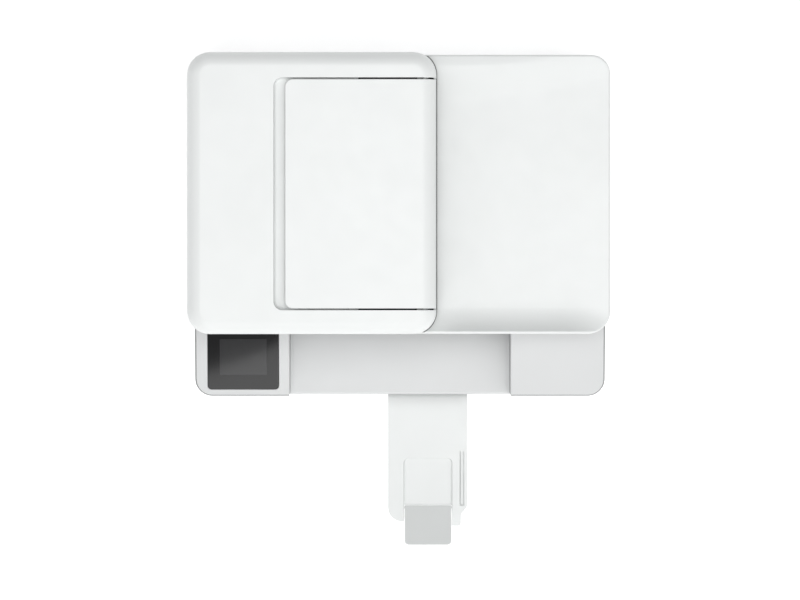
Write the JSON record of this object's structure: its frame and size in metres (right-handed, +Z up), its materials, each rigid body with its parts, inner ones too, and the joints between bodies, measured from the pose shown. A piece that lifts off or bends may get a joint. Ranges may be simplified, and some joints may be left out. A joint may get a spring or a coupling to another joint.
{
  "type": "inkjet printer",
  "caption": "Desktop all-in-one inkjet printer with sheet-feed scanner lid, pull-out output extension, touch display and front paper tray.",
  "frame": {"origin": "middle of the footprint, on the surface the feet stand on, with the output extension pulled out", "axes": "+X to the right seen from the front, +Y to the back, +Z up"},
  "size_m": [0.439, 0.517, 0.278],
  "materials": {
    "white_abs": "fine satin moulded ABS",
    "light_grey_abs": "fine satin moulded ABS",
    "grey_abs": "satin moulded ABS",
    "black_plastic": "satin moulded plastic",
    "display_glass": "gloss black cover glass",
    "clear_glass": "clear float glass",
    "foot_rubber": "moulded rubber",
    "roller_rubber": "ground rubber",
    "steel": "drawn and pressed steel",
    "circuit_board": "green solder mask",
    "white_foam": "foam with a smooth white film",
    "cyan_plastic": "moulded plastic",
    "magenta_plastic": "moulded plastic",
    "yellow_plastic": "moulded plastic"
  },
  "bodies": {
    "base": {"base_pan": "grey_abs", "foot_front_left": "foot_rubber", "foot_front_right": "foot_rubber", "foot_rear_left": "foot_rubber", "foot_rear_right": "foot_rubber", "left_side_cover": "light_grey_abs", "right_side_cover": "light_grey_abs", "left_pod": "light_grey_abs", "right_pod": "light_grey_abs", "control_panel_bezel": "light_grey_abs", "right_pod_cap": "light_grey_abs", "display_glass": "display_glass", "usb_host_port": "black_plastic", "rear_cover": "light_grey_abs", "network_port": "black_plastic", "usb_device_port": "black_plastic", "power_inlet": "black_plastic", "output_bed": "light_grey_abs", "carriage_beam": "steel", "guide_rod": "steel", "platen": "black_plastic", "service_station": "black_plastic", "drive_belt": "roller_rubber", "carriage_motor": "steel", "power_supply": "black_plastic", "logic_board": "circuit_board", "scanner_tray": "light_grey_abs", "scanner_frame": "white_abs", "scanner_glass": "clear_glass", "left_lid_hinge": "light_grey_abs", "right_lid_hinge": "light_grey_abs"},
    "lid": {"lid_shell": "white_abs", "lid_backing": "white_foam", "feeder_base": "white_abs"},
    "feeder_cover": {"feeder_cover": "white_abs"},
    "feeder_flap": {"feeder_flap": "white_abs"},
    "front_sheet_guide": {"front_sheet_guide": "light_grey_abs"},
    "rear_sheet_guide": {"rear_sheet_guide": "light_grey_abs"},
    "feeder_pick": {"feeder_pick_roller": "roller_rubber"},
    "scan_bar": {"scan_bar": "black_plastic"},
    "ink_door": {"ink_door": "light_grey_abs"},
    "carriage": {"carriage_body": "black_plastic", "black_ink": "black_plastic", "cyan_ink": "cyan_plastic", "magenta_ink": "magenta_plastic", "yellow_ink": "yellow_plastic"},
    "paper_tray": {"tray_body": "grey_abs", "tray_front": "light_grey_abs"},
    "left_width_guide": {"left_width_guide": "grey_abs"},
    "right_width_guide": {"right_width_guide": "grey_abs"},
    "length_guide": {"length_guide": "grey_abs"},
    "pick_arm": {"pick_arm": "black_plastic"},
    "pick_roller": {"pick_roller": "roller_rubber"},
    "feed_roller": {"feed_roller": "roller_rubber"},
    "exit_roller": {"exit_roller": "roller_rubber"},
    "turn_drum": {"turn_drum": "roller_rubber"},
    "extension": {"extension_tongue": "white_abs"},
    "paper_stop": {"paper_stop": "grey_abs"},
    "power_button": {"power_button": "light_grey_abs"},
    "rear_door": {"rear_door": "light_grey_abs"}
  },
  "joints": [
    {"name": "lid_hinge", "type": "hinge", "parent": "base", "child": "lid", "pos_m": [0, 0.2515, 0.2085], "axis": [-1, 0, 0], "range_deg": [0, 70]},
    {"name": "feeder_cover_hinge", "type": "hinge", "parent": "lid", "child": "feeder_cover", "pos_m": [-0.2194, 0.112, 0.2362], "axis": [0, -1, 0], "range_deg": [0, 50]},
    {"name": "feeder_flap_hinge", "type": "hinge", "parent": "feeder_cover", "child": "feeder_flap", "pos_m": [0.025, 0.112, 0.2655], "axis": [0, 1, 0], "range_deg": [0, 150]},
    {"name": "front_sheet_guide_slide", "type": "slide", "parent": "lid", "child": "front_sheet_guide", "axis": [0, 1, 0], "range_m": [0, 0.06]},
    {"name": "rear_sheet_guide_slide", "type": "slide", "parent": "lid", "child": "rear_sheet_guide", "axis": [0, 1, 0], "range_m": [-0.06, 0]},
    {"name": "feeder_pick_spin", "type": "hinge", "parent": "lid", "child": "feeder_pick", "pos_m": [-0.075, 0.112, 0.251], "axis": [0, 1, 0], "continuous": true},
    {"name": "scan_bar_slide", "type": "slide", "parent": "base", "child": "scan_bar", "axis": [1, 0, 0], "range_m": [0, 0.316]},
    {"name": "ink_door_hinge", "type": "hinge", "parent": "base", "child": "ink_door", "pos_m": [0, -0.0205, 0.1205], "axis": [1, 0, 0], "range_deg": [0, 88]},
    {"name": "carriage_slide", "type": "slide", "parent": "base", "child": "carriage", "axis": [-1, 0, 0], "range_m": [0, 0.31]},
    {"name": "paper_tray_slide", "type": "slide", "parent": "base", "child": "paper_tray", "axis": [0, -1, 0], "range_m": [0, 0.25]},
    {"name": "left_width_guide_slide", "type": "slide", "parent": "paper_tray", "child": "left_width_guide", "axis": [1, 0, 0], "range_m": [0, 0.05]},
    {"name": "right_width_guide_slide", "type": "slide", "parent": "paper_tray", "child": "right_width_guide", "axis": [1, 0, 0], "range_m": [-0.05, 0]},
    {"name": "length_guide_slide", "type": "slide", "parent": "paper_tray", "child": "length_guide", "axis": [0, 1, 0], "range_m": [0, 0.1]},
    {"name": "pick_arm_hinge", "type": "hinge", "parent": "base", "child": "pick_arm", "pos_m": [0, 0.15, 0.076], "axis": [-1, 0, 0], "range_deg": [0, 40], "stiffness_Nm_per_rad": 0.02, "springref_deg": -34.38},
    {"name": "pick_roller_spin", "type": "hinge", "parent": "pick_arm", "child": "pick_roller", "pos_m": [0, 0.19, 0.072], "axis": [1, 0, 0], "continuous": true},
    {"name": "turn_drum_spin", "type": "hinge", "parent": "base", "child": "turn_drum", "pos_m": [0, 0.214, 0.104], "axis": [1, 0, 0], "continuous": true},
    {"name": "feed_roller_spin", "type": "hinge", "parent": "base", "child": "feed_roller", "pos_m": [0, 0.072, 0.0972], "axis": [1, 0, 0], "continuous": true},
    {"name": "exit_roller_spin", "type": "hinge", "parent": "base", "child": "exit_roller", "pos_m": [0, 0.014, 0.101], "axis": [1, 0, 0], "continuous": true},
    {"name": "extension_slide", "type": "slide", "parent": "base", "child": "extension", "axis": [0, 1, 0], "range_m": [0, 0.118]},
    {"name": "paper_stop_hinge", "type": "hinge", "parent": "extension", "child": "paper_stop", "pos_m": [0.03, -0.2195, 0.0928], "axis": [-1, 0, 0], "range_deg": [0, 145]},
    {"name": "power_button_press", "type": "slide", "parent": "base", "child": "power_button", "axis": [0, 1, 0], "range_m": [0, 0.0012], "stiffness_N_per_m": 300},
    {"name": "rear_door_hinge", "type": "hinge", "parent": "base", "child": "rear_door", "pos_m": [0, 0.25, 0.046], "axis": [-1, 0, 0], "range_deg": [0, 88]}
  ],
  "couplings": [
    {"joint": "rear_sheet_guide_slide", "follows": "front_sheet_guide_slide", "ratio": -1},
    {"joint": "right_width_guide_slide", "follows": "left_width_guide_slide", "ratio": -1},
    {"joint": "feed_roller_spin", "follows": "turn_drum_spin", "ratio": 2.5},
    {"joint": "exit_roller_spin", "follows": "turn_drum_spin", "ratio": 4.1667}
  ]
}
